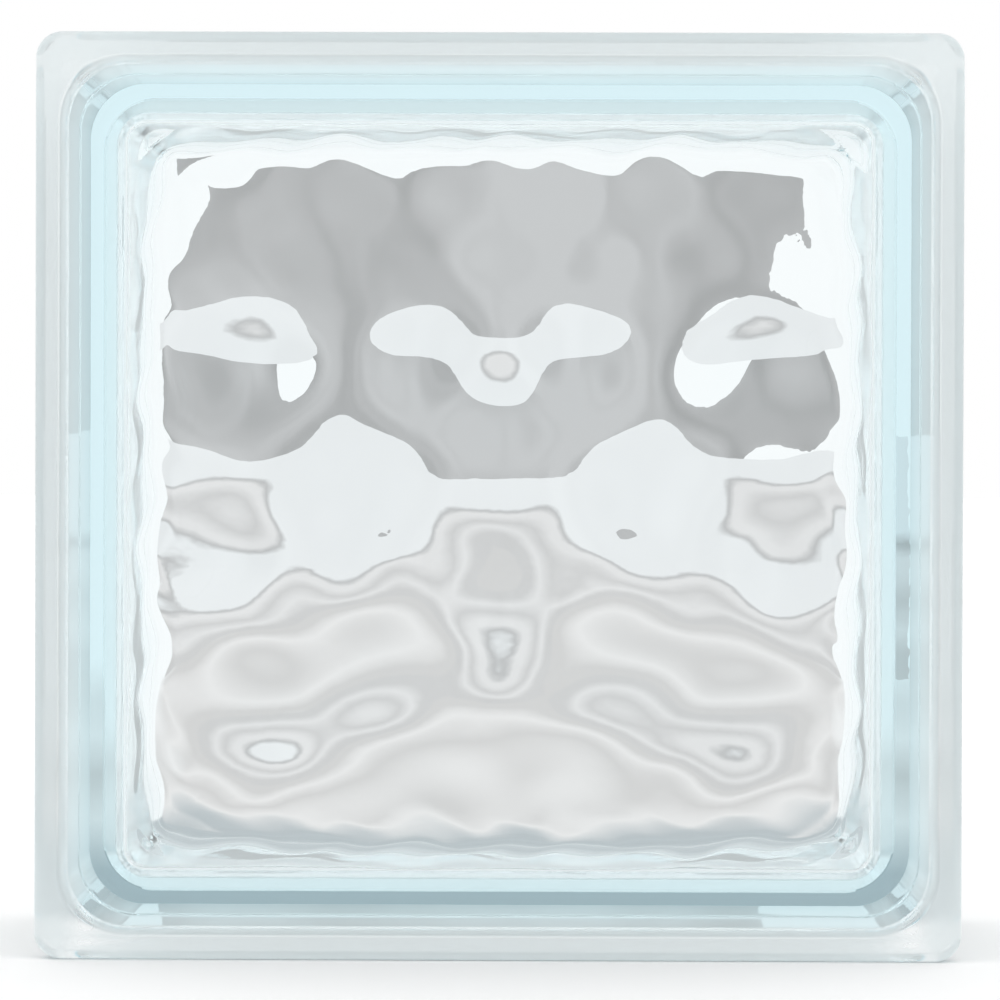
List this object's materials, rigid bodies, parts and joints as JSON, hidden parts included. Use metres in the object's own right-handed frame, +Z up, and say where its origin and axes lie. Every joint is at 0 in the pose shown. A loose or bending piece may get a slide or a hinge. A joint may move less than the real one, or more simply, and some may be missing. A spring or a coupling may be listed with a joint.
{
  "type": "glass block",
  "caption": "Square hollow block of clear pressed glass with wavy inner faces, a lip round each face and a mortar groove in its edges.",
  "frame": {"origin": "middle of the block's footprint, on the surface that it stands on", "axes": "+X along the wall, +Y through the wall from the front face to the back face, +Z up"},
  "size_m": [0.19, 0.08, 0.19],
  "materials": {
    "clear_glass": "clear pressed glass, fire polished"
  },
  "bodies": {
    "root": {"glass_block": "clear_glass"}
  },
  "joints": []
}
